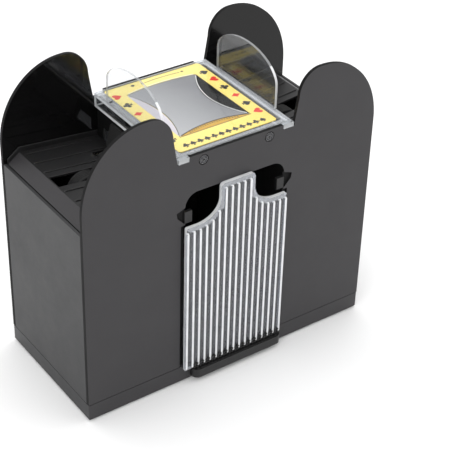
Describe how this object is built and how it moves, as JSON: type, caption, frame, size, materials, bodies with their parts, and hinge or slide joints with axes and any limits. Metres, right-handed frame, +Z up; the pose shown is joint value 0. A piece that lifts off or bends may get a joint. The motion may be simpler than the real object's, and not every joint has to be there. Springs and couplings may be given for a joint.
{
  "type": "automatic card shuffler",
  "caption": "Tabletop motorised card shuffler: dark box with rounded ears beside two card trays, clear centre cover with card guides and a clear ribbed pull-out drawer.",
  "frame": {"origin": "centre of the body's flat underside; the rubber feet stand 1.2 mm below it", "axes": "+Z up, -Y towards the side with the drawer, +X to the right seen from that side"},
  "size_m": [0.21, 0.1046, 0.1992],
  "materials": {
    "shell_plastic": "fine satin grain, dark grey",
    "inner_plastic": "smooth black",
    "clear_plastic": "clear, polished",
    "drawer_clear": "clear, ribbed",
    "label_print": "printed card, pale yellow",
    "silver_foil": "brushed silver foil",
    "rubber": "soft black",
    "gear_nylon": "natural nylon",
    "shaft_steel": "ground",
    "motor_steel": "zinc plated can",
    "screw_black": "black oxide",
    "socket_steel": "nickel plated",
    "board_green": "solder mask",
    "cell_wrap": "heat-shrink wrap"
  },
  "bodies": {
    "shell": {"front_panel": "shell_plastic", "back_panel": "shell_plastic", "base_tray": "shell_plastic", "top_cover": "clear_plastic", "label_sheet": "label_print", "silver_panel": "silver_foil", "circuit_board": "board_green", "usb_socket": "socket_steel", "start_switch": "inner_plastic", "battery_cell": "cell_wrap", "battery_cradle": "inner_plastic", "left_side_wall": "shell_plastic", "left_card_tray": "shell_plastic", "left_mechanism_frame": "inner_plastic", "left_card_gate": "rubber", "left_motor": "motor_steel", "left_card_guide": "clear_plastic", "right_side_wall": "shell_plastic", "right_card_tray": "shell_plastic", "right_mechanism_frame": "inner_plastic", "right_card_gate": "rubber", "right_motor": "motor_steel", "right_card_guide": "clear_plastic", "cover_screw_front_left": "screw_black", "base_screw_front_left": "screw_black", "foot_front_left": "rubber", "cover_screw_front_right": "screw_black", "base_screw_front_right": "screw_black", "foot_front_right": "rubber", "cover_screw_back_left": "screw_black", "base_screw_back_left": "screw_black", "foot_back_left": "rubber", "cover_screw_back_right": "screw_black", "base_screw_back_right": "screw_black", "foot_back_right": "rubber"},
    "left_feed": {"left_feed_shaft": "shaft_steel", "left_feed_roller_front": "rubber", "left_feed_roller_back": "rubber", "left_feed_gear": "gear_nylon"},
    "left_pickup": {"left_pickup_shaft": "shaft_steel", "left_pickup_roller": "rubber", "left_pickup_gear": "gear_nylon"},
    "left_idler": {"left_idler_gear": "gear_nylon"},
    "left_reduction": {"left_reduction_gear": "gear_nylon"},
    "left_rotor": {"left_motor_pinion": "gear_nylon"},
    "right_feed": {"right_feed_shaft": "shaft_steel", "right_feed_roller_front": "rubber", "right_feed_roller_back": "rubber", "right_feed_gear": "gear_nylon"},
    "right_pickup": {"right_pickup_shaft": "shaft_steel", "right_pickup_roller": "rubber", "right_pickup_gear": "gear_nylon"},
    "right_idler": {"right_idler_gear": "gear_nylon"},
    "right_reduction": {"right_reduction_gear": "gear_nylon"},
    "right_rotor": {"right_motor_pinion": "gear_nylon"},
    "drawer": {"card_drawer": "drawer_clear"},
    "button": {"start_button": "inner_plastic"}
  },
  "joints": [
    {"name": "left_feed_spin", "type": "hinge", "parent": "shell", "child": "left_feed", "pos_m": [-0.0483, 0, 0.1288], "axis": [0, 1, 0], "continuous": true},
    {"name": "left_idler_spin", "type": "hinge", "parent": "shell", "child": "left_idler", "pos_m": [-0.0593, 0, 0.1288], "axis": [0, 1, 0], "continuous": true},
    {"name": "left_pickup_spin", "type": "hinge", "parent": "shell", "child": "left_pickup", "pos_m": [-0.0723, 0, 0.1288], "axis": [0, 1, 0], "continuous": true},
    {"name": "left_reduction_spin", "type": "hinge", "parent": "shell", "child": "left_reduction", "pos_m": [-0.05004, 0, 0.11895], "axis": [0, 1, 0], "continuous": true},
    {"name": "left_motor_spin", "type": "hinge", "parent": "shell", "child": "left_rotor", "pos_m": [-0.05004, 0, 0.10615], "axis": [0, 1, 0], "continuous": true},
    {"name": "right_feed_spin", "type": "hinge", "parent": "shell", "child": "right_feed", "pos_m": [0.0483, 0, 0.1288], "axis": [0, 1, 0], "continuous": true},
    {"name": "right_idler_spin", "type": "hinge", "parent": "shell", "child": "right_idler", "pos_m": [0.0593, 0, 0.1288], "axis": [0, 1, 0], "continuous": true},
    {"name": "right_pickup_spin", "type": "hinge", "parent": "shell", "child": "right_pickup", "pos_m": [0.0723, 0, 0.1288], "axis": [0, 1, 0], "continuous": true},
    {"name": "right_reduction_spin", "type": "hinge", "parent": "shell", "child": "right_reduction", "pos_m": [0.05004, 0, 0.11895], "axis": [0, 1, 0], "continuous": true},
    {"name": "right_motor_spin", "type": "hinge", "parent": "shell", "child": "right_rotor", "pos_m": [0.05004, 0, 0.10615], "axis": [0, 1, 0], "continuous": true},
    {"name": "drawer_slide", "type": "slide", "parent": "shell", "child": "drawer", "axis": [0, -1, 0], "range_m": [0, 0.085]},
    {"name": "start_press", "type": "slide", "parent": "shell", "child": "button", "axis": [0, -1, 0], "range_m": [0, 0.0018], "stiffness_N_per_m": 400, "springref_m": -0.001}
  ],
  "couplings": [
    {"joint": "left_idler_spin", "follows": "left_feed_spin", "ratio": -0.83333},
    {"joint": "left_pickup_spin", "follows": "left_feed_spin", "ratio": 0.71429},
    {"joint": "left_reduction_spin", "follows": "left_feed_spin", "ratio": -1},
    {"joint": "left_motor_spin", "follows": "left_feed_spin", "ratio": 2.5556},
    {"joint": "right_idler_spin", "follows": "right_feed_spin", "ratio": -0.83333},
    {"joint": "right_pickup_spin", "follows": "right_feed_spin", "ratio": 0.71429},
    {"joint": "right_reduction_spin", "follows": "right_feed_spin", "ratio": -1},
    {"joint": "right_motor_spin", "follows": "right_feed_spin", "ratio": 2.5556}
  ]
}
